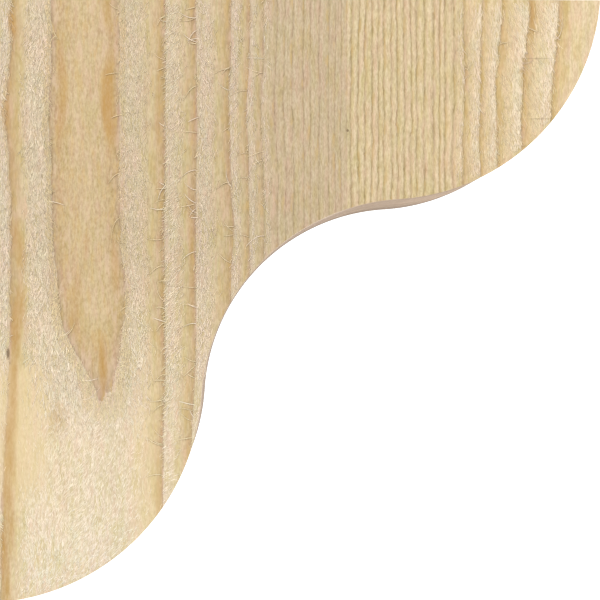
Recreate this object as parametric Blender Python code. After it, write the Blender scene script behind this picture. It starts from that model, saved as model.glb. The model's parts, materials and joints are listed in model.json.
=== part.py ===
"""Wooden corbel bracket: one sawn block with a double-curved front edge.

Frame: metres, +Z up. The origin is the centre of the back face, which lies in the plane x = 0 and
goes against the wall. The bracket stands out along +X, and its thickness runs along Y.
"""

from math import atan2, ceil, cos, hypot, pi, sin, sqrt

import bpy

# Driving dimensions, in metres
PROJECTION = 0.3048       # from the wall to the nose, along the top face
HEIGHT = 0.3048           # from the top face to the foot, down the back face
THICKNESS = 0.0889        # between the two flat sides
BULGE_RADIUS = 0.1101     # of the two outward curves, at the nose and at the foot
BULGE_SETBACK = 0.0082    # how far the centre of each outward curve lies outside the block
HOLLOW_RADIUS = 0.1073    # of the inward curve between the two bulges
FACET_LENGTH = 0.003      # longest flat on a curved face
WELD_DISTANCE = 0.00002   # joins the sides' edges to the saw-cut faces

# Finish of the sawn softwood
WOOD_COLOUR = (0.66, 0.46, 0.26, 1.0)
WOOD_ROUGHNESS = 0.85
WOOD_METALLIC = 0.0


def clear_scene():
    """Remove every object that the file holds."""
    for item in list(bpy.data.objects):
        bpy.data.objects.remove(item, do_unlink=True)


def new_collection(name):
    """Make a collection and link it to the scene."""
    collection = bpy.data.collections.new(name)
    bpy.context.scene.collection.children.link(collection)
    return collection


def sawn_wood():
    """Make the material of the bracket."""
    material = bpy.data.materials.new("sawn_softwood")
    material.use_nodes = True
    shader = material.node_tree.nodes["Principled BSDF"]
    shader.inputs["Base Color"].default_value = WOOD_COLOUR
    shader.inputs["Roughness"].default_value = WOOD_ROUGHNESS
    shader.inputs["Metallic"].default_value = WOOD_METALLIC
    return material


def hollow_centre(nose_centre, foot_centre):
    """Find the centre of the inward curve, which touches both outward curves.

    It lies at the sum of the two radii from either centre, on the side away from the wall.
    """
    reach = BULGE_RADIUS + HOLLOW_RADIUS
    across_x = nose_centre[0] - foot_centre[0]
    across_z = nose_centre[1] - foot_centre[1]
    span = hypot(across_x, across_z)
    offset = sqrt(reach ** 2 - (span / 2) ** 2)
    middle_x = (nose_centre[0] + foot_centre[0]) / 2
    middle_z = (nose_centre[1] + foot_centre[1]) / 2
    return middle_x + offset * across_z / span, middle_z - offset * across_x / span


def bearing(centre, point):
    """Give the angle of a point as seen from a centre, in the side view."""
    return atan2(point[1] - centre[1], point[0] - centre[0])


def arc(centre, radius, start, end):
    """List the points of an arc from the start angle to the end angle, both ends included."""
    steps = ceil(abs(end - start) * radius / FACET_LENGTH)
    angles = [start + (end - start) * i / steps for i in range(steps + 1)]
    return [(centre[0] + radius * cos(a), centre[1] + radius * sin(a)) for a in angles]


def side_outline():
    """List the outline of the side view as (x, z), clockwise from the top back corner."""
    top = HEIGHT / 2
    foot = -HEIGHT / 2
    reach = sqrt(BULGE_RADIUS ** 2 - BULGE_SETBACK ** 2)
    nose_centre = (PROJECTION - reach, top + BULGE_SETBACK)
    foot_centre = (-BULGE_SETBACK, foot + reach)
    hollow = hollow_centre(nose_centre, foot_centre)

    nose_curve = arc(
        nose_centre,
        BULGE_RADIUS,
        bearing(nose_centre, (PROJECTION, top)),
        bearing(nose_centre, hollow),
    )
    hollow_curve = arc(
        hollow,
        HOLLOW_RADIUS,
        bearing(hollow, nose_centre),
        bearing(hollow, foot_centre) % (2 * pi),
    )
    foot_curve = arc(
        foot_centre,
        BULGE_RADIUS,
        bearing(foot_centre, hollow),
        bearing(foot_centre, (0.0, foot)),
    )
    return [(0.0, top)] + nose_curve + hollow_curve[1:-1] + foot_curve


def sawn_block(name, outline, collection, material):
    """Make one solid from its side outline, with half the thickness on either side of y = 0."""
    curve = bpy.data.curves.new(name, "CURVE")
    curve.dimensions = "2D"
    curve.fill_mode = "BOTH"
    curve.extrude = THICKNESS / 2
    spline = curve.splines.new("POLY")
    spline.points.add(len(outline) - 1)
    for point, (x, z) in zip(spline.points, outline):
        point.co = (x, z, 0.0, 1.0)
    spline.use_cyclic_u = True
    curve.materials.append(material)

    block = bpy.data.objects.new(name, curve)
    block.rotation_euler = (pi / 2, 0.0, 0.0)
    collection.objects.link(block)

    weld = block.modifiers.new("weld_caps", "WELD")
    weld.merge_threshold = WELD_DISTANCE
    return block


def main():
    """Build the bracket."""
    clear_scene()
    parts = new_collection("corbel_bracket_parts")
    sawn_block("corbel_bracket", side_outline(), parts, sawn_wood())


main()
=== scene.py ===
# %% [markdown]
# # A rough-sawn corbel bracket
# The real object is one block of pale softwood, probably glued up from two boards and band-sawn to a double
# curve. Its beauty is all in the surface: growth rings, wool that the saw has torn up, and smooth late wood
# between. A painted picture could show that from one side only. Here the rings are a rule in space instead,
# so that the faces, the cut ends and the curve all show the same wood. The block from CAD gives the overall
# size, and the arcs of the curve repeat its named sizes.

import json
import math

import bpy
import numpy as np
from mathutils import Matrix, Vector

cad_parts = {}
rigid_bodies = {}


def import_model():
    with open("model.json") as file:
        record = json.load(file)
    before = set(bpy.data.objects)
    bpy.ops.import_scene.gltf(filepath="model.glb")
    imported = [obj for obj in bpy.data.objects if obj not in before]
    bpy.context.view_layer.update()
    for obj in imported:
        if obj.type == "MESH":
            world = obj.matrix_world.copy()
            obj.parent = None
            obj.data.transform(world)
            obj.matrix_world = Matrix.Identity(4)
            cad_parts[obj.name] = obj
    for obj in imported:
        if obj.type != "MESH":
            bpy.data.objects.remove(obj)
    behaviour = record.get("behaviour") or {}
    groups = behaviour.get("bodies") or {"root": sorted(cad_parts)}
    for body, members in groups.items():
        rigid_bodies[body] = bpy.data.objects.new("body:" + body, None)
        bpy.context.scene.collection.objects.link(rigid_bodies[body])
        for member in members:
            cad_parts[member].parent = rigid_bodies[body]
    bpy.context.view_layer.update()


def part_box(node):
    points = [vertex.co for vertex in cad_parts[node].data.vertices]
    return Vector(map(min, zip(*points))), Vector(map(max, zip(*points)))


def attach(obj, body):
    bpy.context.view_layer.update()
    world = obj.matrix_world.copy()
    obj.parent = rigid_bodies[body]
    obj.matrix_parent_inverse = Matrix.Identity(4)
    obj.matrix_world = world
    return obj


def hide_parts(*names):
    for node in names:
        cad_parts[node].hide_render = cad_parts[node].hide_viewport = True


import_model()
low, high = (np.array(corner, float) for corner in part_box("corbel_bracket"))
PROJECTION, THICKNESS, _ = high - low
NEAR_SIDE, FAR_SIDE = low[1], high[1]
FOOT, TOP = low[2], high[2]
print("block in mm:", (1000 * (high - low)).round(1))

# %% [markdown]
# ## The picture and its camera
# The side view fills a square picture from edge to edge, so one picture pixel is a known share of the
# projection. The far edge of the curve peeps out under the near one. For a block this thick, that puts the
# camera level with a point a little left of and below the middle, 0.83 m from the near side. A thinner
# block would put it nearer. The camera is turned, not shifted, so that other views stay centred. Its aim
# and a trim of the lens were fitted to the outline.

# %% Camera
PICTURE_WIDTH = 600
PIXEL = PROJECTION / PICTURE_WIDTH
CAMERA_DISTANCE = 0.828
EYE_PIXEL = (239.2, 310.9)
AIM_PIXEL = (298.45, 301.05)
LENS_TRIM = 1.0048
SENSOR = 0.036


def at_pixel(column, row):
    """Place of a picture pixel on the near side: x grows with the column, z falls with the row."""
    return np.array([column * PIXEL, NEAR_SIDE, TOP - row * PIXEL])


def picture_place(points):
    """Column and row of points seen square on, in picture pixels: at_pixel the other way round."""
    return points[:, 0] / PIXEL, (TOP - points[:, 2]) / PIXEL


def make_camera():
    """Stand the camera in front of the eye pixel and turn it to the aim pixel."""
    eye = Vector(at_pixel(*EYE_PIXEL)) - Vector((0, CAMERA_DISTANCE, 0))
    aim = Vector(at_pixel(*AIM_PIXEL))
    data = bpy.data.cameras.new("camera")
    data.sensor_width = SENSOR * 1000
    data.lens = LENS_TRIM * SENSOR * 1000 * (aim - eye).length / PROJECTION
    data.clip_start = 0.01
    camera = bpy.data.objects.new("camera", data)
    camera.location = eye
    camera.rotation_euler = (aim - eye).to_track_quat("-Z", "Y").to_euler()
    bpy.context.scene.collection.objects.link(camera)
    bpy.context.scene.camera = camera
    print("camera at", [round(v, 3) for v in eye], "lens", round(data.lens, 1), "mm")


make_camera()

# %% [markdown]
# ## Helpers for numbers
# Wood needs smooth randomness. A table of random values on a lattice, blended between its corners, gives
# it, and a seed makes it the same on every run. Stretching the cells along the grain turns blobs into
# streaks.

# %% Smooth steps and lattice noise
LATTICE = 32


def smooth(start, end, value):
    """Go from 0 to 1 between start and end, along the cubic t * t * (3 - 2 t)."""
    t = np.clip((value - start) / (end - start), 0.0, 1.0)
    return t * t * (3.0 - 2.0 * t)


def noise(points, cell, seed):
    """Smooth random values from -1 to 1: lattice values, blended by smooth steps inside each cell."""
    table = np.random.default_rng(seed).uniform(-1.0, 1.0, (LATTICE,) * 3)
    place = points / np.asarray(cell)
    base = np.floor(place).astype(int)
    t = place - base
    t = t * t * (3.0 - 2.0 * t)
    total = np.zeros(len(points))
    for corner in np.ndindex(2, 2, 2):
        weight = np.prod(np.where(np.array(corner) == 1, t, 1.0 - t), axis=1)
        i, j, k = ((base + corner) % LATTICE).T
        total += weight * table[i, j, k]
    return total


# %% [markdown]
# ## The sawn outline
# Seen from the side the front edge is three arcs that touch: a bulge under the nose, a hollow, and a bulge
# above the foot. Each arc could be listed as points. As the edge rises steadily from foot to nose, it is
# simpler to hold it as a height for each x and, the other way round, as an x for each height.

# %% Outline
BULGE_RADIUS = 0.1101
BULGE_SETBACK = 0.0082
HOLLOW_RADIUS = 0.1073

bulge_reach = math.sqrt(BULGE_RADIUS**2 - BULGE_SETBACK**2)
foot_centre = np.array([-BULGE_SETBACK, FOOT + bulge_reach])
nose_centre = np.array([PROJECTION - bulge_reach, TOP + BULGE_SETBACK])
between = nose_centre - foot_centre
half_span = np.hypot(*between) / 2
centre_offset = math.sqrt((BULGE_RADIUS + HOLLOW_RADIUS) ** 2 - half_span**2)
away_from_wall = np.array([between[1], -between[0]]) / (2 * half_span)
hollow_centre = (nose_centre + foot_centre) / 2 + centre_offset * away_from_wall
share = BULGE_RADIUS / (BULGE_RADIUS + HOLLOW_RADIUS)
foot_meets_hollow = foot_centre + share * (hollow_centre - foot_centre)
nose_meets_hollow = nose_centre + share * (hollow_centre - nose_centre)


def arc_part(radius, offset):
    """Second leg of a right triangle whose long side is the radius."""
    return np.sqrt(np.maximum(radius**2 - offset**2, 0.0))


def edge_height(x):
    """Height of the sawn edge above each x: below the centre on a bulge, above it on the hollow."""
    foot = foot_centre[1] - arc_part(BULGE_RADIUS, x - foot_centre[0])
    hollow = hollow_centre[1] + arc_part(HOLLOW_RADIUS, x - hollow_centre[0])
    nose = nose_centre[1] - arc_part(BULGE_RADIUS, x - nose_centre[0])
    return np.select([x < foot_meets_hollow[0], x < nose_meets_hollow[0]], [foot, hollow], nose)


def edge_reach(z):
    """The x of the sawn edge at each height, the same three arcs read the other way."""
    foot = foot_centre[0] + arc_part(BULGE_RADIUS, z - foot_centre[1])
    hollow = hollow_centre[0] - arc_part(HOLLOW_RADIUS, z - hollow_centre[1])
    nose = nose_centre[0] + arc_part(BULGE_RADIUS, z - nose_centre[1])
    return np.select([z < foot_meets_hollow[1], z < nose_meets_hollow[1]], [foot, hollow], nose)


print("arcs meet at mm:", (1000 * foot_meets_hollow).round(1), (1000 * nose_meets_hollow).round(1))

# %% [markdown]
# ## Growth rings as a rule in space
# A tree adds one ring a year around its pith, so the age of the wood at a point depends on its distance
# from the pith line. The wall board's pith lies behind it, and the near side just grazes one ring, which
# gives the long tongue. The nose board's pith lies past the nose, and its rings grow towards the joint.
# Slow swells and bows are added to the distance, because no trunk is straight. The rings that show one by
# one have their widths read off the side view. The others are random draws.

# %% Two boards
JOINT = 345.7 * PIXEL
WALL_PITH_DEPTH = 0.120
NOSE_PITH_DEPTH = 0.076
WALL_PITH = at_pixel(85.5, 0) + (0, WALL_PITH_DEPTH, 0)
NOSE_PITH = at_pixel(640, 0) + (0, NOSE_PITH_DEPTH, 0)
WALL_FIRST_EDGE = at_pixel(119, 0)
NOSE_FIRST_EDGE = at_pixel(555, 0)
UNEVEN_YEARS = 0.34


def uneven_years(growth, count, seed):
    """Rings that the picture doesn't show one by one: the same growth each year, give or take a third."""
    return growth * (1 + UNEVEN_YEARS * np.random.default_rng(seed).uniform(-1, 1, count))


WALL_INNER_GROWTH = np.append(0.0052, uneven_years(0.0052, 22, 4))
NOSE_INNER_GROWTH = np.append(0.0100, uneven_years(0.0055, 13, 5))
WALL_GROWTH = np.append((0.0053, 0.0057, 0.0084, 0.0052, 0.0042, 0.0042), uneven_years(0.0030, 44, 2))
NOSE_GROWTH = np.append((0.0087, 0.0088, 0.0064, 0.0068, 0.0040, 0.0035), uneven_years(0.0031, 44, 3))


def age_at(radius, first_edge, inner_growth, outer_growth):
    """Age in years at a distance from the pith: whole on each ring edge, and 1 on the first edge."""
    outward = first_edge + np.concatenate([[0.0], np.cumsum(outer_growth)])
    inward = first_edge - np.cumsum(inner_growth)[::-1]
    ages = np.arange(1 - len(inner_growth), 2 + len(outer_growth))
    return np.interp(radius, np.concatenate([inward, outward]), ages)


def distance(points, pith):
    """Distance from an upright pith line."""
    return np.hypot(points[..., 0] - pith[0], points[..., 1] - pith[1])


# %% Tongue
TONGUE_HALF_WIDTH = 33.5 * PIXEL
TONGUE_START = 300
TONGUE_TIP = 408
TONGUE_AXIS = 85.5
TONGUE_TAPER = 1.45


def tongue(column, row, near_side):
    """Lean and swell that close the first ring on the near side into a tongue.

    The half width falls as 1 minus a power of the share of the way to the tip. For it the trunk is thicker by
    (full half width squared less this half width squared) over twice the pith's depth. A little more swell,
    from just above the tip, closes the ring for good.
    """
    lean = 7.0 * smooth(190, 310, row) + 11.5 * smooth(310, 400, row)
    off_axis = column - TONGUE_AXIS - 0.7 * lean
    lean = lean * np.exp(-((off_axis / 55) ** 4))
    share = np.clip((row - TONGUE_START) / (TONGUE_TIP - TONGUE_START), 0.0, 1.0)
    width = 1.0 - share**TONGUE_TAPER
    swell = TONGUE_HALF_WIDTH**2 / (2 * WALL_PITH_DEPTH) * (1 - width**2)
    swell = swell + 2.0 * PIXEL * smooth(398, 450, row)
    swell = swell * np.exp(-((off_axis / 46) ** 4))
    return lean * PIXEL * near_side, swell * near_side


# %% Ages
def wall_board_age(points):
    """Rings of the wall board: distance from its pith, with the tongue and the trunk's bows."""
    column, row = picture_place(points)
    near_side = smooth(0.030, 0.0, points[:, 1] - NEAR_SIDE)
    lean, swell = tongue(column, row, near_side)
    sag = -2.6 * smooth(330, 600, row) * (1 - smooth(0, 45, column))
    bow = np.exp(-(((row - 112) / 45) ** 2))
    drift = -4.0 * bow * (1 - smooth(20, 70, column))
    drift += (5.0 - 1.5 * bow - 2.0 * smooth(300, 400, row)) * (1 - smooth(8, 34, column))
    drift += 2.0 * bow * smooth(130, 190, column) * (1 - smooth(200, 225, column))
    drift -= 2.5 * bow * smooth(215, 240, column) * (1 - smooth(270, 300, column))
    drift += 5.0 * np.exp(-(((column - 227) / 9) ** 2) - ((row - 232) / 24) ** 2)
    drift -= 4.5 * smooth(350, 450, row) * smooth(120, 165, column) * (1 - smooth(225, 260, column))
    moved = points.copy()
    moved[:, 0] -= lean + drift * PIXEL
    slant = np.clip(np.abs(points[:, 0] - WALL_PITH[0]) / WALL_PITH_DEPTH, 0.0, 0.7)
    wave = 0.0005 * noise(points, (0.018, 0.030, 0.030), 11)
    wave += 0.0005 * noise(points, (0.006, 0.010, 0.010), 12)
    wave += 0.0006 * noise(points, (0.0030, 0.010, 0.0045), 13) * (1 - smooth(125, 145, column))
    radius = distance(moved, WALL_PITH) + swell + sag * PIXEL + wave * slant
    return age_at(radius, distance(WALL_FIRST_EDGE, WALL_PITH), WALL_INNER_GROWTH, WALL_GROWTH)


def nose_board_age(points):
    """Rings of the nose board: distance from its pith past the nose, with the lean near the top."""
    column, row = picture_place(points)
    lean = 4.5 - 9.0 * smooth(0, 100, row) + 1.5 * smooth(110, 180, row)
    moved = points.copy()
    moved[:, 0] -= lean * smooth(455, 520, column) * PIXEL
    wave = 0.0006 * noise(points, (0.010, 0.030, 0.016), 21)
    wave += 0.0003 * noise(points, (0.005, 0.010, 0.010), 22)
    corded = 1 - smooth(440, 480, column)
    wave += 0.0005 * noise(points, (0.006, 0.030, 0.009), 25) * (1 - corded)
    wave += 0.0003 * noise(points, (0.0045, 0.010, 0.0075), 23) * corded
    wave += 0.0003 * noise(points, (0.0030, 0.010, 0.0050), 24) * corded
    radius = distance(moved, NOSE_PITH) + wave
    return age_at(radius, distance(NOSE_FIRST_EDGE, NOSE_PITH), NOSE_INNER_GROWTH, NOSE_GROWTH)


# %% Facts at a point
MARK_DEPTH = 0.004


def planed_at(points):
    """Places low on the near side where the saw ran smooth and left little wool: two soft-edged boxes."""
    column, row = picture_place(points)
    by_wall = smooth(335, 385, row) * (1 - smooth(470, 520, row)) * (1 - smooth(36, 62, column))
    by_curve = 0.6 * smooth(330, 420, row) * smooth(124, 138, column) * (1 - smooth(152, 164, column))
    return np.maximum(by_wall, by_curve) * smooth(MARK_DEPTH, 0.0, points[:, 1] - NEAR_SIDE)


def ring_facts(points):
    """For each point: its age on both boards, the share of its year, how bold its ring is, and how woolly.

    The share runs from 0 in spring to 1 in autumn. Wool fades as the share grows, and from ring to ring.
    """
    wall, nose = wall_board_age(points), nose_board_age(points)
    on_nose = points[:, 0] > JOINT
    age = np.where(on_nose, nose, wall)
    year_share = age - np.floor(age)
    wall_bold = 1.0 - 0.8 * smooth(4.5, 7.5, wall)
    wall_bold = wall_bold * (1 - 0.55 * smooth(26, 12, points[:, 0] / PIXEL))
    nose_bold = 1.0 - 0.25 * smooth(4.0, 8.0, nose)
    bold = np.where(on_nose, nose_bold, wall_bold)
    spring = np.where(on_nose, 1 - smooth(0.60, 0.84, year_share), 1 - smooth(0.34, 0.62, year_share))
    spring = spring * np.interp(year_share, [0.08, 0.18], [1.0, 0.8])
    wall_wool = np.interp(wall, [2.9, 3.2, 4, 6, 7], [1.0, 0.75, 0.7, 0.45, 0.0])
    nose_wool = np.interp(nose, [1, 4, 6], [0.7, 0.6, 0.0])
    nose_wool = np.where((points[:, 1] < 0) & (nose < 1.0), 0.0, nose_wool)
    low_down = smooth(380, 470, (TOP - points[:, 2]) / PIXEL)
    wall_wool = wall_wool * (1 - 0.3 * low_down) * (1 - 0.88 * planed_at(points))
    wool = spring * np.where(on_nose, nose_wool, wall_wool)
    return wall, nose, year_share, bold, wool


probe = np.array([at_pixel(column, 60) for column in (15, 85, 160, 225, 300, 400, 480, 560)])
print("year share at eight places:", ring_facts(probe)[2].round(2))

# %% [markdown]
# ## Relief left by the saw
# A coarse saw tears soft spring wood, which then swells and stands proud, and slides over hard autumn wood.
# So the surface is a saw-tooth across each ring: high just outside a ring's edge, and falling towards the
# next one. All of it goes inwards from the measured face, so the block never grows.

# %% Depth below the measured face
WOOL_ROOM = 0.00045
RING_STEP = 0.00042


def side_depth(points):
    """Depth of the sawn side: room for the wool, a step for autumn wood, fine streaks and slow waves."""
    _, _, year_share, bold, _ = ring_facts(points)
    autumn = smooth(0.25, 0.95, year_share)
    streak = noise(points, (0.0016, 0.004, 0.012), 31) + 0.6 * noise(points, (0.0009, 0.004, 0.006), 32)
    waves = noise(points, (0.03, 0.03, 0.05), 33)
    return WOOL_ROOM + RING_STEP * autumn * bold + 0.00005 * streak + 0.00008 * waves


# %% [markdown]
# ## One closed body
# The side is a grid of upright columns, fine across the grain and long along it, trimmed by the curve.
# Every grid cell is whole, cut or empty, and a cut cell always keeps its upper left corner, because the
# edge rises all the way. So four kinds of cut cell and the two tips cover every case, and numpy makes each
# kind at once. The far side is the same grid, and the rim is the outline carried through the thickness.

# %% Trimmed grid
COLUMNS = 435
ROWS = 139
LAYERS = 28
HAIR = 1e-7


def trimmed_grid():
    """Points and cells of the side view: whole cells keep four corners, cut ones gain points on the curve."""
    across = np.linspace(0.0, PROJECTION, COLUMNS + 1)
    down = np.linspace(TOP, FOOT, ROWS + 1)
    x, z = np.meshgrid(across, down, indexing="ij")
    inside = z > edge_height(x) + HAIR
    inside[0, :] = True
    inside[COLUMNS, 0] = True
    number = np.full(inside.shape, -1)
    number[inside] = np.arange(inside.sum())

    on_columns = np.stack([across[1:-1], edge_height(across[1:-1])], axis=1)
    on_rows = np.stack([edge_reach(down[1:-1]), down[1:-1]], axis=1)
    places = np.concatenate([np.stack([x[inside], z[inside]], axis=1), on_columns, on_rows])
    foot_tip, nose_tip = number[0, ROWS], number[COLUMNS, 0]
    start = inside.sum()
    column_cut = np.concatenate([[foot_tip], start + np.arange(COLUMNS - 1), [nose_tip]])
    row_cut = np.concatenate([[nose_tip], start + COLUMNS - 1 + np.arange(ROWS - 1), [foot_tip]])

    i, j = (part.ravel() for part in np.meshgrid(np.arange(COLUMNS), np.arange(ROWS), indexing="ij"))
    a, b, c, d = number[i, j], number[i, j + 1], number[i + 1, j + 1], number[i + 1, j]
    has_a, has_b, has_c, has_d = (corner >= 0 for corner in (a, b, c, d))
    low_cut, right_cut, left_cut, high_cut = row_cut[j + 1], column_cut[i + 1], column_cut[i], row_cut[j]
    three = has_a & has_b & has_d & ~has_c
    at_foot, at_nose = three & (low_cut == b), three & (right_cut == d)
    kinds = (
        (has_a & has_b & has_c & has_d, (a, b, c, d)),
        (three & ~at_foot & ~at_nose, (a, b, low_cut, right_cut, d)),
        (at_foot, (a, b, right_cut, d)),
        (at_nose, (a, b, low_cut, d)),
        (has_a & has_b & ~has_d, (a, b, low_cut, high_cut)),
        (has_a & has_d & ~has_b, (a, left_cut, right_cut, d)),
        (has_a & ~has_b & ~has_d, (a, left_cut, high_cut)),
    )
    cells = [np.stack(corners, axis=1)[mask] for mask, corners in kinds]

    cuts = np.arange(start, len(places))
    curve = cuts[np.argsort(places[cuts].sum(axis=1))]
    loop = np.concatenate([number[0, :], curve, number[COLUMNS:0:-1, 0]])
    return places, cells, loop


side_places, side_cells, side_loop = trimmed_grid()
cell_count = sum(len(kind) for kind in side_cells)
print("side view:", len(side_places), "points,", cell_count, "cells,", len(side_loop), "round")


# %% Rim
CROWDING = 0.6


def depth_steps():
    """Share of the thickness at each layer, closer together near both sides."""
    even = np.linspace(0.0, 1.0, LAYERS + 1)
    return even - CROWDING * np.sin(2 * np.pi * even) / (2 * np.pi)


def loop_normals(loop):
    """Outward direction at each point of the outline, square to the line between its neighbours."""
    here = side_places[loop]
    along = np.roll(here, -1, axis=0) - np.roll(here, 1, axis=0)
    along /= np.linalg.norm(along, axis=1, keepdims=True)
    return np.stack([along[:, 1], -along[:, 0]], axis=1)


def solid_body():
    """Near side, far side and rim as one closed set of points and faces.

    The last list has 1 for each kind of face that cuts across the grain, the top and the curve, and 0 for
    the others.
    """
    count, around = len(side_places), len(side_loop)
    near = np.insert(side_places, 1, NEAR_SIDE, axis=1)
    far = np.insert(side_places, 1, FAR_SIDE, axis=1)
    steps = depth_steps()[1:-1]
    ring = side_places[side_loop]
    layers = np.stack([np.insert(ring, 1, NEAR_SIDE + THICKNESS * step, axis=1) for step in steps])
    points = np.concatenate([near, far, layers.reshape(-1, 3)])

    between = 2 * count + np.arange(len(steps) * around).reshape(len(steps), around)
    rows = np.concatenate([side_loop[None], between, count + side_loop[None]])
    after = np.roll(rows, -1, axis=1)
    rim = np.stack([rows[:-1], rows[1:], after[1:], after[:-1]], axis=-1)
    wall_face, cut_faces = rim[:, :ROWS].reshape(-1, 4), rim[:, ROWS:].reshape(-1, 4)
    faces = list(side_cells) + [kind[:, ::-1] + count for kind in side_cells] + [wall_face, cut_faces]
    crosses_grain = [0] * (2 * len(side_cells) + 1) + [1]
    return points, faces, crosses_grain


body_points, body_faces, body_crosses_grain = solid_body()
triangles = sum(len(kind) * (kind.shape[1] - 2) for kind in body_faces)
print("body:", len(body_points), "points,", triangles, "triangles")


# %% Put numpy faces into a mesh
def mesh_from(name, points, face_groups, groups_wear):
    """Make a mesh from points and arrays of faces, each array with the number of its material slot."""
    sizes = np.concatenate([np.full(len(kind), kind.shape[1]) for kind in face_groups])
    corners = np.concatenate([kind.ravel() for kind in face_groups])
    slots = np.concatenate([np.full(len(kind), wear) for kind, wear in zip(face_groups, groups_wear)])
    mesh = bpy.data.meshes.new(name)
    mesh.vertices.add(len(points))
    mesh.vertices.foreach_set("co", points.astype(np.float32).ravel())
    mesh.loops.add(len(corners))
    mesh.loops.foreach_set("vertex_index", corners.astype(np.int32))
    mesh.polygons.add(len(sizes))
    mesh.polygons.foreach_set("loop_start", (np.cumsum(sizes) - sizes).astype(np.int32))
    mesh.polygons.foreach_set("material_index", slots.astype(np.int32))
    mesh.update(calc_edges=True)
    mesh.validate()
    return mesh


def give(mesh, name, values):
    """Store one number for each point of a mesh under a name that materials can read."""
    mesh.attributes.new(name, "FLOAT", "POINT").data.foreach_set("value", values.astype(np.float32))


def show(mesh, materials):
    """Link a mesh to the scene as a piece that rides on the block's body."""
    piece = bpy.data.objects.new(mesh.name, mesh)
    for material in materials:
        mesh.materials.append(material)
    bpy.context.scene.collection.objects.link(piece)
    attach(piece, "root")
    return piece


# %% [markdown]
# ## Stains
# A few places on the near side are resin-brown where the saw grazed hard wood. They belong to no rule, so
# they are listed by name, each with its middle, half width and half height in picture pixels, and its
# strength. The wool over a stain takes its colour too, so the stain is a number that every piece carries.

# %% Stains
STAINS = {
    "right border of the tongue": (109, 104, 7.0, 48, 1.0),
    "top of the right border": (108, 14, 5, 20, 0.55),
    "right border further down": (114, 268, 4, 26, 0.55),
    "left border of the tongue": (62, 98, 5.0, 54, 0.62),
    "heart of the tongue's tip": (102, 366, 4, 30, 0.95),
    "low left of the tongue": (77, 306, 6, 34, 0.45),
    "low olive streak of the tongue": (86, 250, 3, 22, 0.35),
    "top of the wall edge": (14, 27, 4.5, 14, 0.9),
    "upper wall edge": (8, 116, 4.5, 20, 0.7),
    "haze along the wall edge": (15, 110, 7, 125, 0.25),
    "middle wall edge": (19, 322, 6.5, 40, 0.88),
    "low wall edge": (20, 248, 6, 28, 0.75),
    "third quarter of the wall edge": (16, 385, 4, 42, 0.75),
    "lower wall edge": (13, 442, 6, 50, 0.68),
    "last bend of the wall edge": (11, 504, 5, 54, 0.72),
    "foot of the wall edge": (7, 562, 5, 54, 0.72),
    "patch in the wool": (56, 420, 8, 17, 0.42),
    "second dark band": (158, 95, 3, 62, 0.45),
    "third dark band": (190, 250, 2.5, 60, 0.4),
    "first nose band": (531, 14, 4.5, 17, 0.7),
    "second nose band": (521, 76, 4, 20, 0.45),
}


def stain_at(points):
    """Strength of the resin stains: for each, 1 in the middle, falling as exp(-(offset to the power 4))."""
    column, row = picture_place(points)
    total = np.zeros(len(points))
    for middle, level, half_width, half_height, strength in STAINS.values():
        wander = half_width * 0.35 * np.sin(row / 17 + middle)
        offset = np.hypot((column + wander - middle) / half_width, (row - level) / half_height)
        total = np.maximum(total, strength * np.exp(-(offset**4)))
    blotches = 0.85 + 0.25 * noise(points, (0.0022, 0.01, 0.007), 17)
    return total * blotches * smooth(MARK_DEPTH, 0.0, points[:, 1] - NEAR_SIDE)


print(len(STAINS), "stains")

# %% [markdown]
# ## Materials
# Colour could be painted per face, but rings are finer than any mesh. So the mesh carries the age of the
# wood, beside its stains and planed places, and the material takes the age's fraction, which keeps ring
# edges sharp. Some effects are groups: the rings' colours, which both sawn faces take, the streaks of the
# grain, and the slow change of tone over the block, which the body and the wool share.

# %% Colours
# How much brighter than its own colour a face looks under the stage's light. Fibres shade each other.
LIGHT_ON_WOOD = 1.46
LIGHT_IN_WOOL = 1.10


def linear(red, green, blue):
    """Screen numbers from 0 to 255 as linear light: a straight foot, then a power of 2.4."""
    parts = np.array([red, green, blue]) / 255.0
    return np.where(parts <= 0.04045, parts / 12.92, ((parts + 0.055) / 1.055) ** 2.4)


def seen(red, green, blue, light=LIGHT_ON_WOOD):
    """Shader colour of a surface that looks like these screen numbers under the stage's light."""
    return tuple(linear(red, green, blue) / light) + (1.0,)


def seen_wool(red, green, blue):
    """The same for a torn fibre among others."""
    return seen(red, green, blue, LIGHT_IN_WOOL)


def tint(red, green, blue):
    """Shader colour that another colour is multiplied by: 255 leaves it as it is."""
    return tuple(linear(red, green, blue)) + (1.0,)


# %% Node helpers
def node(tree, kind, inputs=None, **settings):
    """Add a node, set its properties, and set or link each named or numbered input."""
    made = tree.nodes.new(kind)
    for key, value in settings.items():
        setattr(made, key, value)
    for key, value in (inputs or {}).items():
        if isinstance(value, bpy.types.NodeSocket):
            tree.links.new(value, made.inputs[key])
        else:
            made.inputs[key].default_value = value
    return made


def maths(tree, operation, first, second=0.0, third=0.0):
    """One arithmetic node."""
    inputs = {0: first, 1: second, 2: third}
    return node(tree, "ShaderNodeMath", inputs, operation=operation).outputs[0]


def product(tree, first, second):
    """Multiply two numbers."""
    return maths(tree, "MULTIPLY", first, second)


def span(tree, value, start, end, low_value=0.0, high_value=1.0):
    """Smoothly map a stretch of one number onto another."""
    inputs = {"Value": value, "From Min": start, "From Max": end, "To Min": low_value, "To Max": high_value}
    return node(tree, "ShaderNodeMapRange", inputs, interpolation_type="SMOOTHSTEP").outputs["Result"]


def mix(tree, share, first, second, blend="MIX"):
    """Mix two colours."""
    inputs = {"Factor": share, 6: first, 7: second}
    return node(tree, "ShaderNodeMix", inputs, data_type="RGBA", blend_type=blend).outputs[2]


def tinted(tree, first, second):
    """Multiply two colours."""
    return mix(tree, 1.0, first, second, "MULTIPLY")


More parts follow.
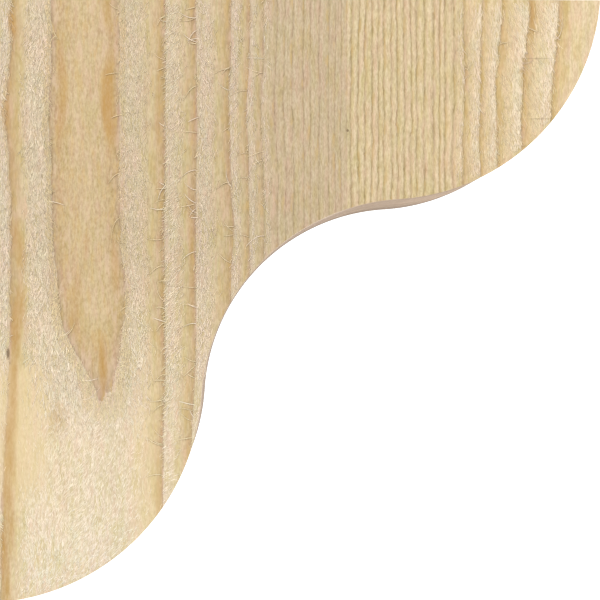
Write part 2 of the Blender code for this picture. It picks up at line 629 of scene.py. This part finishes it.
def ramp(tree, value, stops):
    """Colour ramp from (place, colour) pairs."""
    made = node(tree, "ShaderNodeValToRGB", {"Fac": value})
    elements = made.color_ramp.elements
    while len(elements) < len(stops):
        elements.new(0.5)
    for element, (place, colour) in zip(elements, stops):
        element.position = place
        element.color = colour
    return made.outputs["Color"]


def object_place(tree):
    """Place on the block, in metres."""
    return node(tree, "ShaderNodeTexCoord").outputs["Object"]


def axes_of(tree):
    """The block's x, y and z as three numbers."""
    return node(tree, "ShaderNodeSeparateXYZ", {0: object_place(tree)}).outputs


def drawn_noise(tree, across, along, detail=3.0, seed=0.0):
    """Noise drawn out along the grain: cells of one width across it and another along it, in metres."""
    scale = (1 / across, 1 / across, 1 / along)
    settings = {"Vector": object_place(tree), "Scale": scale, "Location": (seed, seed, seed)}
    mapped = node(tree, "ShaderNodeMapping", settings)
    inputs = {"Vector": mapped.outputs["Vector"], "Scale": 1.0, "Detail": detail, "Roughness": 0.6}
    return node(tree, "ShaderNodeTexNoise", inputs).outputs["Fac"]


def turned_noise(tree, scale):
    """Noise with its own number of cells per metre along each axis."""
    mapped = node(tree, "ShaderNodeMapping", {"Vector": object_place(tree), "Scale": scale})
    inputs = {"Vector": mapped.outputs["Vector"], "Scale": 1.0, "Detail": 2.0}
    return node(tree, "ShaderNodeTexNoise", inputs).outputs["Fac"]


def attribute(tree, name):
    """Read a number that the mesh carries."""
    return node(tree, "ShaderNodeAttribute", attribute_name=name).outputs["Fac"]


def start_group(name, inputs, outputs):
    """Start a node group with named number inputs and named outputs. Returns it with both ends' sockets."""
    tree = bpy.data.node_groups.new(name, "ShaderNodeTree")
    for label, value in inputs.items():
        socket = tree.interface.new_socket(label, in_out="INPUT", socket_type="NodeSocketFloat")
        socket.default_value = value
    for label, kind in outputs.items():
        tree.interface.new_socket(label, in_out="OUTPUT", socket_type=kind)
    return tree, tree.nodes.new("NodeGroupInput").outputs, tree.nodes.new("NodeGroupOutput").inputs


def place_group(tree, group, inputs):
    """Use a node group in a material, with its own values or links."""
    return node(tree, "ShaderNodeGroup", inputs, node_tree=group).outputs


# %% Tone group
def make_tone_group():
    """Slow change of tone: duller at the top than at the foot, a little lighter on the nose board."""
    tree, given, out = start_group("board_tone", {"Strength": 1.0}, {"Tone": "NodeSocketColor"})
    axes = axes_of(tree)
    plain = tint(255, 255, 255)
    across = maths(tree, "DIVIDE", axes["X"], float(PROJECTION))
    top = ramp(tree, across, [
        (0.0, tint(229, 227, 229)),
        (0.045, tint(230, 227, 227)),
        (0.09, tint(227, 222, 218)),
        (0.19, tint(225, 220, 215)),
        (0.28, tint(229, 226, 224)),
        (0.38, tint(225, 221, 222)),
        (0.56, tint(224, 221, 220)),
        (0.60, tint(228, 225, 221)),
        (0.78, tint(237, 232, 228)),
        (0.915, tint(242, 240, 236)),
        (0.935, tint(249, 248, 250)),
    ])
    low_down = span(tree, axes["Z"], 0.04, -0.08)
    toned = mix(tree, low_down, top, tint(253, 253, 254))
    toned = mix(tree, span(tree, axes["Z"], -0.06, -0.14), toned, tint(259, 262, 269))
    cloud = ramp(tree, drawn_noise(tree, 0.008, 0.018, 3.0, 4.0), [
        (0.34, tint(248, 249, 243)),
        (0.50, tint(252, 250, 247)),
        (0.66, tint(254, 249, 247)),
    ])
    toned = tinted(tree, toned, cloud)
    tree.links.new(mix(tree, given["Strength"], plain, toned), out["Tone"])
    return tree


# %% Ring group
def make_ring_group():
    """Colour, autumn share and spring share from the two boards' ages, by the fraction of the age."""
    outputs = {"Color": "NodeSocketColor", "Autumn": "NodeSocketFloat", "Spring": "NodeSocketFloat"}
    tree, given, out = start_group("growth_rings", {"Wall age": 0.0, "Nose age": 0.0}, outputs)
    on_nose = maths(tree, "GREATER_THAN", axes_of(tree)["X"], float(JOINT))
    ragged = maths(tree, "SUBTRACT", drawn_noise(tree, 0.0012, 0.0036), 0.5)
    in_cords = product(tree, on_nose, span(tree, given["Nose age"], 4.0, 6.0))
    ragged = product(tree, ragged, span(tree, in_cords, 0.0, 1.0, 0.024, 0.60))
    inputs = {"Factor": on_nose, 2: given["Wall age"], 3: given["Nose age"]}
    ages = node(tree, "ShaderNodeMix", inputs).outputs[0]
    year_share = maths(tree, "FRACT", maths(tree, "ADD", ages, ragged))
    wall_bold = ramp(tree, year_share, [
        (0.0, seen(222, 209, 187)),
        (0.30, seen(226, 213, 187)),
        (0.46, seen(223, 209, 178)),
        (0.60, seen(220, 206, 171)),
        (0.72, seen(216, 199, 163)),
        (0.84, seen(209, 189, 152)),
        (0.92, seen(202, 179, 140)),
        # From 0.965 to 1.0 this ramp paints shade: the soft mauve-grey shadow that the proud wool of the next
        # ring casts on the autumn wood at the ring edge.
        (0.965, seen(199, 177, 146)),
        (1.0, seen(194, 174, 150)),
    ])
    nose_bold = ramp(tree, year_share, [
        (0.0, seen(222, 206, 176)),
        (0.10, seen(230, 215, 183)),
        (0.60, seen(230, 214, 181)),
        (0.76, seen(226, 207, 168)),
        (0.86, seen(221, 199, 154)),
        (0.94, seen(214, 191, 145)),
        (1.0, seen(207, 186, 149)),
    ])
    quiet = ramp(tree, year_share, [
        (0.0, seen(186, 170, 144)),
        (0.10, seen(210, 195, 168)),
        (0.24, seen(221, 207, 181)),
        (0.60, seen(220, 205, 177)),
        (0.86, seen(208, 192, 162)),
        (1.0, seen(188, 172, 142)),
    ])
    corded = ramp(tree, year_share, [
        (0.0, seen(194, 178, 144)),
        (0.12, seen(218, 204, 173)),
        (0.26, seen(233, 219, 189)),
        (0.60, seen(231, 217, 185)),
        (0.80, seen(219, 203, 166)),
        (0.92, seen(200, 183, 143)),
        (1.0, seen(190, 173, 133)),
    ])
    broken = span(tree, drawn_noise(tree, 0.0022, 0.0070, 3.0, 2.5), 0.44, 0.62, 0.0, 0.80)
    corded = mix(tree, broken, corded, seen(223, 208, 175))
    quiet = mix(tree, broken, quiet, seen(212, 197, 168))
    wall_colour = mix(tree, span(tree, given["Wall age"], 4.5, 7.0), wall_bold, quiet)
    nose_colour = mix(tree, span(tree, given["Nose age"], 4.0, 6.0), nose_bold, corded)
    tree.links.new(mix(tree, on_nose, wall_colour, nose_colour), out["Color"])
    tree.links.new(span(tree, year_share, 0.3, 0.95), out["Autumn"])
    tree.links.new(span(tree, year_share, 0.66, 0.36), out["Spring"])
    return tree


# %% Streak group
def make_streak_group():
    """Grain streaks at three widths. Tint multiplies a colour, Height feeds a bump."""
    outputs = {"Tint": "NodeSocketColor", "Height": "NodeSocketFloat"}
    tree, given, out = start_group("grain_streaks", {"Strength": 1.0}, outputs)
    hair = drawn_noise(tree, 0.00070, 0.0022, 3.0, 1.0)
    line = drawn_noise(tree, 0.0014, 0.012, 3.0, 2.0)
    broad = drawn_noise(tree, 0.0040, 0.020, 2.0, 3.0)
    plain = tint(255, 255, 255)
    toned = mix(tree, span(tree, hair, 0.36, 0.64), tint(234, 231, 226), plain)
    hue = ramp(tree, line, [
        (0.36, tint(243, 241, 232)),
        (0.50, tint(252, 251, 248)),
        (0.64, tint(255, 248, 246)),
    ])
    toned = tinted(tree, toned, hue)
    wide = ramp(tree, broad, [
        (0.36, tint(244, 241, 222)),
        (0.50, tint(253, 251, 247)),
        (0.64, tint(250, 241, 240)),
    ])
    toned = tinted(tree, toned, wide)
    tree.links.new(mix(tree, given["Strength"], plain, toned), out["Tint"])
    tree.links.new(maths(tree, "ADD", hair, line), out["Height"])
    return tree


tone_group, ring_group, streak_group = make_tone_group(), make_ring_group(), make_streak_group()
print("groups:", tone_group.name, ring_group.name, streak_group.name)


# %% Sawn long grain
DARK_FLAWS = {
    "speck by the joint": (346, 132, 1.5, 1.7, 0.8),
    "pin knot at the wall": (9.5, 354, 1.8, 6.0, 0.8),
    "upper hairline on the nose": (537, 59, 17, 0.9, 0.32),
    "lower hairline on the nose": (539, 119.5, 15, 0.9, 0.32),
}


def start_material(name, roughness):
    """A material with a plain rough shader. Returns it with its tree and shader node."""
    material = bpy.data.materials.new(name)
    material.use_nodes = True
    shader = material.node_tree.nodes["Principled BSDF"]
    shader.inputs["Roughness"].default_value = roughness
    shader.inputs["Specular IOR Level"].default_value = 0.2
    return material, material.node_tree, shader


def rings_in(tree):
    """Place the ring group in a material and feed it the ages that the mesh carries."""
    ages = {"Wall age": attribute(tree, "wall_age"), "Nose age": attribute(tree, "nose_age")}
    return place_group(tree, ring_group, ages)


def toned(tree, colour, strength):
    """Multiply a colour by the board's tone."""
    return tinted(tree, colour, place_group(tree, tone_group, {"Strength": strength})["Tone"])


def flaw_mask(tree, column, row, half_width, half_height):
    """1 inside a small oval on the near side, with a soft edge."""
    size = (half_width * PIXEL, MARK_DEPTH, half_height * PIXEL)
    inputs = {0: object_place(tree), 1: tuple(at_pixel(column, row))}
    offset = node(tree, "ShaderNodeVectorMath", inputs, operation="SUBTRACT")
    shares = node(tree, "ShaderNodeVectorMath", {0: offset.outputs[0], 1: size}, operation="DIVIDE")
    length = node(tree, "ShaderNodeVectorMath", {0: shares.outputs[0]}, operation="LENGTH").outputs["Value"]
    return span(tree, length, 1.2, 0.5)


def with_flaws(tree, colour, dark):
    """Darken the few named flaws."""
    for column, row, half_width, half_height, strength in DARK_FLAWS.values():
        mask = flaw_mask(tree, column, row, half_width, half_height)
        colour = mix(tree, product(tree, mask, strength), colour, dark)
    return colour


def sawn_long_grain():
    """Ring colours under streaks, ochre resin in hard wood, painted shade specks in the wool, stains and
    flaws.
    """
    material, tree, shader = start_material("sawn_long_grain", 0.85)
    rings = rings_in(tree)
    grain = place_group(tree, streak_group, {"Strength": 1.0})
    colour = tinted(tree, toned(tree, rings["Color"], 0.6), grain["Tint"])
    clouds = drawn_noise(tree, 0.0034, 0.013, 3.0, 5.0)
    resin = product(tree, span(tree, clouds, 0.53, 0.64), rings["Autumn"])
    colour = mix(tree, product(tree, resin, 0.58), colour, seen(188, 158, 104))
    rosy = product(tree, span(tree, clouds, 0.46, 0.36), rings["Autumn"])
    colour = mix(tree, product(tree, rosy, 0.50), colour, seen(200, 172, 146))
    fuzz = span(tree, drawn_noise(tree, 0.0011, 0.0018, 3.0, 9.0), 0.36, 0.66, 0.0, 0.22)
    old_wood = product(tree, span(tree, attribute(tree, "wall_age"), 1.0, 0.97), fuzz)
    colour = mix(tree, old_wood, colour, seen(222, 202, 164))
    smooth_cut = product(tree, attribute(tree, "planed"), 0.40)
    colour = mix(tree, smooth_cut, colour, seen(221, 197, 152))
    # Painted shade: grey-green specks in the spring wood stand for the small shadows between the wool's
    # fibres. The same noise also makes a bump.
    fleck = drawn_noise(tree, 0.0008, 0.0016, 3.0, 7.0)
    torn = product(tree, rings["Spring"], span(tree, fleck, 0.60, 0.68, 0.0, 0.16))
    colour = mix(tree, torn, colour, seen(186, 176, 146))
    less_on_ridges = span(tree, grain["Height"], 0.75, 1.25, 1.0, 0.70)
    stain = product(tree, attribute(tree, "stain"), less_on_ridges)
    colour = mix(tree, stain, colour, seen(174, 134, 70))
    colour = with_flaws(tree, colour, seen(112, 92, 66))
    tree.links.new(colour, shader.inputs["Base Color"])
    tree.links.new(span(tree, rings["Autumn"], 0.0, 1.0, 0.94, 0.68), shader.inputs["Roughness"])
    half_streaks = product(tree, grain["Height"], 0.5)
    height = maths(tree, "MULTIPLY_ADD", fleck, rings["Spring"], half_streaks)
    bump = node(tree, "ShaderNodeBump", {"Strength": 0.7, "Distance": 0.0004, "Height": height})
    tree.links.new(bump.outputs["Normal"], shader.inputs["Normal"])
    return material


# %% Sawn end grain
def sawn_end_grain():
    """The same rings cut across: rosier, pored and lined by the saw.

    The curve has a painted highlight along the near arris of the wall board, and painted shade along the far
    arris.
    """
    material, tree, shader = start_material("sawn_end_grain", 0.8)
    rings = rings_in(tree)
    pores = drawn_noise(tree, 0.0006, 0.0006, 4.0, 3.0)
    saw_lines = turned_noise(tree, (1 / 0.0013, 1 / 0.060, 1 / 0.0013))
    feed = turned_noise(tree, (1 / 0.040, 1 / 0.007, 1 / 0.040))
    on_curve = span(tree, axes_of(tree)["Z"], float(TOP) - 0.001, float(TOP) - 0.004)
    colour = mix(tree, 0.35, toned(tree, rings["Color"], 0.8), seen(198, 168, 147))
    colour = mix(tree, span(tree, rings["Autumn"], 0.2, 1.0, 0.0, 0.35), colour, seen(176, 142, 108))
    colour = mix(tree, span(tree, pores, 0.42, 0.68, 0.0, 0.32), colour, seen(156, 130, 102))
    colour = mix(tree, span(tree, saw_lines, 0.40, 0.62, 0.0, 0.22), colour, seen(164, 140, 112))
    banded = product(tree, on_curve, span(tree, feed, 0.40, 0.60, 0.0, 0.60))
    colour = mix(tree, banded, colour, seen(152, 134, 106))
    rosy = product(tree, on_curve, 0.22)
    colour = mix(tree, rosy, colour, seen(196, 160, 150))
    # Painted shade: the curve darkens towards the far arris.
    far_arris_shade = span(tree, axes_of(tree)["Y"], float(FAR_SIDE) - 0.030, float(FAR_SIDE) - 0.004, 0.0, 0.60)
    colour = mix(tree, product(tree, far_arris_shade, on_curve), colour, seen(132, 112, 92))
    # Painted highlight: along the near arris of the wall board the curve is paled, where the arris catches
    # the light.
    near_edge = span(tree, axes_of(tree)["Y"], float(NEAR_SIDE) + 0.030, float(NEAR_SIDE), 0.0, 0.75)
    wall_board = span(tree, axes_of(tree)["X"], float(JOINT) + 0.012, float(JOINT) - 0.012)
    near_arris_highlight = product(tree, near_edge, wall_board)
    colour = mix(tree, product(tree, near_arris_highlight, on_curve), colour, seen(244, 222, 196))
    tree.links.new(colour, shader.inputs["Base Color"])
    height = maths(tree, "ADD", pores, saw_lines)
    bump = node(tree, "ShaderNodeBump", {"Strength": 0.6, "Distance": 0.0003, "Height": height})
    tree.links.new(bump.outputs["Normal"], shader.inputs["Normal"])
    return material


# %% Torn fibre
def torn_fibre():
    """Cream fibres, each a little rosier or greener than the next, brown over a stain."""
    material, tree, shader = start_material("torn_fibre", 0.95)
    colour = ramp(tree, attribute(tree, "shade"), [
        (0.0, seen_wool(238, 227, 203)),
        (0.35, seen_wool(241, 231, 208)),
        (0.65, seen_wool(243, 230, 211)),
        (1.0, seen_wool(247, 237, 218)),
    ])
    ripe = product(tree, attribute(tree, "ripe"), 0.7)
    colour = mix(tree, ripe, colour, seen_wool(231, 214, 171))
    mottle = ramp(tree, drawn_noise(tree, 0.0050, 0.0090, 2.0, 6.0), [
        (0.36, tint(249, 249, 244)),
        (0.50, tint(254, 252, 250)),
        (0.64, tint(254, 249, 247)),
    ])
    colour = tinted(tree, colour, mottle)
    colour = mix(tree, product(tree, attribute(tree, "stain"), 0.6), colour, seen_wool(206, 168, 110))
    # Painted shade: low down and on the nose the wool is sparse and its fibres shade each other less, so
    # their colour is darkened there, and a little more at the foot, to take back part of the light that
    # LIGHT_IN_WOOL adds.
    low_down = span(tree, axes_of(tree)["Z"], 0.0, -0.06)
    on_nose = span(tree, axes_of(tree)["X"], 430 * PIXEL, 470 * PIXEL, 0.0, 0.6)
    sparse_wool_shade = mix(tree, maths(tree, "MAXIMUM", low_down, on_nose), tint(255, 255, 255), tint(240, 241, 242))
    colour = tinted(tree, colour, sparse_wool_shade)
    foot = span(tree, axes_of(tree)["Z"], -0.10, -0.14)
    colour = tinted(tree, colour, mix(tree, foot, tint(255, 255, 255), tint(247, 248, 250)))
    colour = with_flaws(tree, colour, seen_wool(150, 130, 104))
    tree.links.new(toned(tree, colour, 1.0), shader.inputs["Base Color"])
    fuzz = drawn_noise(tree, 0.0003, 0.0008, 2.0, 8.0)
    bump = node(tree, "ShaderNodeBump", {"Strength": 0.3, "Distance": 0.0001, "Height": fuzz})
    tree.links.new(bump.outputs["Normal"], shader.inputs["Normal"])
    return material


long_grain, end_grain, fibre = sawn_long_grain(), sawn_end_grain(), torn_fibre()
print("materials:", long_grain.name, end_grain.name, fibre.name)

# %% [markdown]
# ## The body takes its relief
# Points of the two sides sink by the depth of the relief. The rim keeps its line at both arrises, so the
# outline stays true, and gets the saw's fine ripples between them.

# %% Body
SAW_RIPPLE = 0.00016
RIPPLE_FADE = 0.004
SHARP_ANGLE = math.radians(60)


def relieved(points):
    """Move each point inwards: sides along y by their depth, the rim along its own normal by a ripple."""
    count, around = len(side_places), len(side_loop)
    moved = points.copy()
    depth = side_depth(points[: 2 * count])
    moved[:count, 1] += depth[:count]
    moved[count : 2 * count, 1] -= depth[count:]
    rim = points[2 * count :]
    normal = np.tile(loop_normals(side_loop), (len(rim) // around, 1))
    fade = smooth(0.0, RIPPLE_FADE, THICKNESS / 2 - np.abs(rim[:, 1]))
    ripple = 0.5 + 0.5 * noise(rim, (0.0022, 0.05, 0.0022), 41)
    sink = (SAW_RIPPLE * fade * ripple)[:, None] * normal
    moved[2 * count :, 0] -= sink[:, 0]
    moved[2 * count :, 2] -= sink[:, 1]
    return moved


def make_body():
    """The closed block with its relief, carrying both boards' ages, the stains and the planed places."""
    points = relieved(body_points)
    mesh = mesh_from("sawn_block", points, body_faces, body_crosses_grain)
    give(mesh, "wall_age", wall_board_age(body_points))
    give(mesh, "nose_age", nose_board_age(body_points))
    give(mesh, "stain", stain_at(body_points))
    give(mesh, "planed", planed_at(body_points))
    mesh.shade_smooth()
    mesh.set_sharp_from_angle(angle=SHARP_ANGLE)
    piece = show(mesh, [long_grain, end_grain])
    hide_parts("corbel_bracket")


make_body()

# %% [markdown]
# ## Torn wool
# The pale fur on spring wood is thousands of torn fibres, each about a third of a millimetre wide, rooted
# at one end and combed by the saw. A noise texture reads as grain, not as fur, so the fibres are real: slim
# three-sided spindles of eighteen triangles. Their places are drawn at random and kept where the rings say
# the wood is woolly.

# %% Spindles
FIBRE_STATIONS = np.array([0.0, 0.22, 0.50, 0.78, 1.0])
FIBRE_RISE = np.array([-0.35, 0.50, 0.95, 1.0, 0.70])
WHISKER_STATIONS = np.array([0.0, 0.10, 0.26, 0.42, 0.58, 0.74, 0.90, 1.0])
WHISKER_RISE = np.array([-0.30, 0.35, 0.75, 0.95, 1.0, 0.90, 0.65, 0.50])
TURNS = np.radians([90.0, 210.0, 330.0])
BEND_LAG = 0.25
PATCH_MARGIN = 0.05


def spindle_faces(stations):
    """Faces of one three-sided spindle, and where each corner lies in its patch of the map."""
    rings = len(stations) - 2
    last = 1 + 3 * rings
    tips, tip_places, walls, wall_places = [], [], [], []
    for side in range(3):
        after = (side + 1) % 3
        near, far = (side + 0.1) / 3, (side + 0.9) / 3
        middle = (near + far) / 2
        tips += [(0, 1 + side, 1 + after), (last - 3 + side, last, last - 3 + after)]
        tip_places += [(stations[0], middle), (stations[1], near), (stations[1], far)]
        tip_places += [(stations[-2], near), (stations[-1], middle), (stations[-2], far)]
        for ring in range(rings - 1):
            here, there = 1 + 3 * ring, 4 + 3 * ring
            walls.append((here + side, there + side, there + after, here + after))
            start, end = stations[ring + 1], stations[ring + 2]
            wall_places += [(start, near), (end, near), (end, far), (start, far)]
    return np.array(tips), np.array(tip_places), np.array(walls), np.array(wall_places)


def spindle_points(fibres, stations, rise, outward):
    """Points of many fibres: a bent centre line between two tips, and a triangle round each inner station.

    The line leaves its heading sideways by bend times length times (share squared less a quarter share).
    """
    roots, heading, length = fibres["root"], fibres["heading"], fibres["length"]
    width, lift, bend = fibres["width"], fibres["lift"], fibres["bend"]
    along = np.stack([np.sin(heading), 0 * heading, -np.cos(heading)], axis=1)
    out = np.array([0.0, outward, 0.0])
    side = np.cross(along, out)
    t = stations[None, :, None]
    line = roots[:, None, :] + along[:, None, :] * (length[:, None, None] * t)
    line = line + side[:, None, :] * (bend * length)[:, None, None] * (t**2 - BEND_LAG * t)
    line = line + out * (lift[:, None] * rise)[:, :, None]
    thick = fibres["thick"][:, None, None] * np.sin(TURNS)[:, None] * out
    around = np.cos(TURNS)[:, None] * side[:, None, :] + thick
    fullness = np.sqrt(np.sin(np.pi * np.clip(stations[1:-1], 0.1, 0.85)))
    rings = line[:, 1:-1, None, :] + around[:, None] * (width[:, None] / 2 * fullness)[:, :, None, None]
    rings = rings.reshape(len(roots), -1, 3)
    return np.concatenate([line[:, :1], rings, line[:, -1:]], axis=1)


def make_spindles(name, fibres, stations, rise, outward):
    """One piece of many fibres, each with its own random shade and its own patch of the map."""
    points = spindle_points(fibres, stations, rise, outward)
    count, size = points.shape[:2]
    tips, tip_places, walls, wall_places = spindle_faces(stations)
    first = size * np.arange(count)[:, None, None]
    groups = [(first + tips).reshape(-1, 3), (first + walls).reshape(-1, 4)]
    mesh = mesh_from(name, points.reshape(-1, 3), groups, [0, 0])
    columns = math.ceil(math.sqrt(count / 2))
    rows = math.ceil(count / columns)
    cell = np.stack([np.arange(count) % columns, np.arange(count) // columns], axis=1)[:, None]
    corners = [PATCH_MARGIN + (1 - 2 * PATCH_MARGIN) * places for places in (tip_places, wall_places)]
    places = [((cell + corner) / (columns, rows)).reshape(-1, 2) for corner in corners]
    layer = mesh.uv_layers.new(name="OFBake")
    layer.data.foreach_set("uv", np.concatenate(places).astype(np.float32).ravel())
    give(mesh, "shade", np.repeat(fibres["shade"], size))
    give(mesh, "stain", np.repeat(stain_at(fibres["root"]), size))
    give(mesh, "ripe", np.repeat(smooth(0.12, 0.65, ring_facts(fibres["root"])[2]), size))
    mesh.shade_smooth()
    show(mesh, [fibre])
    print(name, count, "fibres,", len(groups[0]) + 2 * len(groups[1]), "triangles")


# %% Wool
EDGE_MARGIN = 0.0007
FRAY = 0.0012
PROBE_STEP = 0.0005
TRIES_PER_FIBRE = 20
SPARE_SHARE = 1.04
REVERSED_SHARE = 0.3
PROUD_SHARE = 0.45


def toward_older_wood(places):
    """Sign of the x direction in which the age falls, from the ages half a millimetre to either side."""
    step = np.array([PROBE_STEP, 0.0, 0.0])
    on_nose = places[:, 0] > JOINT
    after = np.where(on_nose, nose_board_age(places + step), wall_board_age(places + step))
    before = np.where(on_nose, nose_board_age(places - step), wall_board_age(places - step))
    return -np.sign(after - before)


def combing(points):
    """Heading of the fibres, in radians from straight down: the saw combed each area its own way."""
    column, row = picture_place(points)
    heading = -0.45 * smooth(390, 470, row) * smooth(30, 70, column)
    heading += 0.30 * smooth(450, 530, column) * smooth(0.02, 0.25, ring_facts(points)[2])
    heading -= 0.55 * smooth(160, 166, column) * (1 - smooth(172, 186, column))
    spread = 1.0 - 0.65 * smooth(330, 360, column)
    swirl = 0.30 * noise(points, (0.010, 0.05, 0.016), 51)
    swirl += 0.45 * noise(points, (0.0028, 0.05, 0.0050), 52)
    heading += spread * swirl
    patchy = smooth(0.0, 0.7, noise(points, (0.02, 0.05, 0.0045), 53))
    overhang = smooth(0.12, 0.0, ring_facts(points)[2]) * patchy
    overhang *= 0.6 - 0.6 * smooth(400, 480, column)
    return heading + overhang * toward_older_wood(points)


def inside_outline(places):
    """True where a place on the side is clear of the sawn edge and of the straight edges."""
    clear = places[:, 2] > edge_height(places[:, 0]) + EDGE_MARGIN
    clear &= (places[:, 0] > EDGE_MARGIN) & (places[:, 0] < PROJECTION - EDGE_MARGIN)
    return clear & (places[:, 2] < TOP - EDGE_MARGIN)


def keep_inside(fibres, outward):
    """Drop the fibres whose bent tip would pass the outline."""
    heading, length = fibres["heading"][:, None], fibres["length"][:, None]
    along = np.concatenate([np.sin(heading), 0 * heading, -np.cos(heading)], axis=1)
    side = outward * np.concatenate([np.cos(heading), 0 * heading, np.sin(heading)], axis=1)
    tips = fibres["root"] + length * (along + (1 - BEND_LAG) * fibres["bend"][:, None] * side)
    keep = inside_outline(tips) & inside_outline(fibres["root"])
    return {key: values[keep] for key, values in fibres.items()}


def draw_places(rng, number, stretch, side_y):
    """Random places on one side between two x values, down to the lowest point of the outline there."""
    lowest = float(edge_height(np.array(stretch[0])))
    places = rng.uniform((stretch[0], side_y, lowest), (stretch[1], side_y, TOP), (number, 3))
    return places[inside_outline(places)]


def make_wool(name, stretch, side_y, outward, seed, most, longest, unruly):
    """Torn fibres over one stretch of a side, thick where the rings are woolly."""
    rng = np.random.default_rng(seed)
    places = draw_places(rng, TRIES_PER_FIBRE * most, stretch, side_y)
    frayed = places.copy()
    frayed[:, 0] += FRAY * noise(places, (0.0025, 0.05, 0.0030), 54)
    places = places[rng.random(len(places)) < ring_facts(frayed)[4]][: int(SPARE_SHARE * most)]
    number = len(places)
    depth = side_depth(places)
    low_down = smooth(370, 450, (TOP - places[:, 2]) / PIXEL)
    flat = 1 - 0.8 * np.maximum(low_down, 0.6 * smooth(440, 470, places[:, 0] / PIXEL))
    inset = 0.6 + 0.4 * smooth(0.0, 0.14, ring_facts(places)[2])
    width = rng.uniform(0.00024, 0.00044, number) * (1 - 0.2 * low_down)
    fibres = {
        "root": places - np.outer(depth, (0.0, outward, 0.0)),
        "heading": combing(places) + rng.normal(0.0, unruly, number)
        + np.pi * (rng.random(number) < REVERSED_SHARE),
        "length": rng.uniform(0.35 * longest, longest, number) * inset * (1 - 0.25 * low_down),
        "width": width,
        "thick": 0.35 + 0.35 * flat,
        "lift": np.minimum(flat * rng.uniform(0.00003, 0.00026, number), depth - PROUD_SHARE * width),
        "bend": rng.normal(0.0, 0.26, number),
        "shade": rng.random(number),
    }
    kept = {key: values[:most] for key, values in keep_inside(fibres, outward).items()}
    make_spindles(name, kept, FIBRE_STATIONS, FIBRE_RISE, outward)


TONGUE_LINE = 103 * PIXEL
make_wool("wool_by_the_wall", (0.0, TONGUE_LINE), NEAR_SIDE, -1.0, 61, 9000, 0.0056, 0.16)
make_wool("wool_in_the_middle", (TONGUE_LINE, JOINT), NEAR_SIDE, -1.0, 62, 8000, 0.0052, 0.16)
make_wool("wool_on_the_nose", (JOINT, PROJECTION), NEAR_SIDE, -1.0, 63, 3800, 0.0064, 0.12)
make_wool("wool_on_the_far_side", (0.0, PROJECTION), FAR_SIDE, 1.0, 64, 10500, 0.0062, 0.16)

# %% [markdown]
# ## Whiskers
# Where a ring's wool hangs over the hard edge of the year before, single long fibres have come loose and
# lie across the dark band in shallow arcs. They are the same spindles with more stations, rooted just
# inside the wool.

# %% Whiskers
WHISKERS = 100
WHISKER_TRIES = 60000


def make_whiskers():
    """Long loose fibres across the dark bands of the near side."""
    rng = np.random.default_rng(71)
    places = draw_places(rng, WHISKER_TRIES, (0.0, PROJECTION), NEAR_SIDE)
    _, _, year_share, bold, wool = ring_facts(places)
    column = places[:, 0] / PIXEL
    usual = 0.12 + 0.88 * smooth(126, 150, column) - 0.60 * smooth(300, 440, column)
    loose = (year_share > 0.02) & (year_share < 0.10) & (bold > 0.5) & (wool > 0.25)
    places = places[loose & (rng.random(len(places)) < usual)][:WHISKERS]
    number = len(places)
    depth = side_depth(places)
    width = rng.uniform(0.00040, 0.00060, number)
    fibres = {
        "root": places - np.outer(depth, (0.0, -1.0, 0.0)),
        "heading": toward_older_wood(places) * (np.pi / 2 + rng.normal(0.0, 0.30, number)),
        "length": rng.uniform(0.0040, 0.0105, number),
        "width": width,
        "thick": np.full(number, 0.75),
        "lift": np.minimum(rng.uniform(0.00008, 0.00030, number), depth - PROUD_SHARE * width),
        "bend": rng.normal(0.0, 0.60, number),
        "shade": rng.uniform(0.8, 1.0, number),
    }
    make_spindles("whiskers", keep_inside(fibres, -1.0), WHISKER_STATIONS, WHISKER_RISE, -1.0)


make_whiskers()

# %% [markdown]
# ## Stage and light
# The picture has a plain white ground and almost no shadow. An even white surround gives that, and one
# large soft lamp high on the left gives the fibres and ring steps their small shadows.

# %% Stage
FLOOR_HEIGHT = -1.30
FLOOR_SIZE = 12.0
FLOOR_COLOUR = (0.97, 0.97, 0.97, 1.0)
SURROUND_STRENGTH = 1.49
LAMP_PLACE = (-0.55, -1.1, 0.85)
LAMP_SIZE = 0.7
LAMP_POWER = 13.8


def make_stage():
    """A pale floor, an even surround and one soft lamp."""
    scene = bpy.context.scene
    scene.view_settings.view_transform = "Standard"
    world = bpy.data.worlds.new("surround")
    world.use_nodes = True
    background = world.node_tree.nodes["Background"]
    background.inputs["Color"].default_value = (1.0, 1.0, 1.0, 1.0)
    background.inputs["Strength"].default_value = SURROUND_STRENGTH
    scene.world = world
    half = FLOOR_SIZE / 2
    corners = [(-half, -half), (half, -half), (half, half), (-half, half)]
    mesh = bpy.data.meshes.new("floor")
    mesh.from_pydata([(x, y, FLOOR_HEIGHT) for x, y in corners], [], [(0, 1, 2, 3)])
    floor = bpy.data.objects.new("floor", mesh)
    material, _, shader = start_material("pale_floor", 0.9)
    shader.inputs["Base Color"].default_value = FLOOR_COLOUR
    mesh.materials.append(material)
    scene.collection.objects.link(floor)
    lamp = bpy.data.lights.new("soft_lamp", "AREA")
    lamp.size = LAMP_SIZE
    lamp.energy = LAMP_POWER
    light = bpy.data.objects.new("soft_lamp", lamp)
    light.location = LAMP_PLACE
    aim = Vector((PROJECTION / 2, 0, 0)) - light.location
    light.rotation_euler = aim.to_track_quat("-Z", "Y").to_euler()
    scene.collection.objects.link(light)


make_stage()
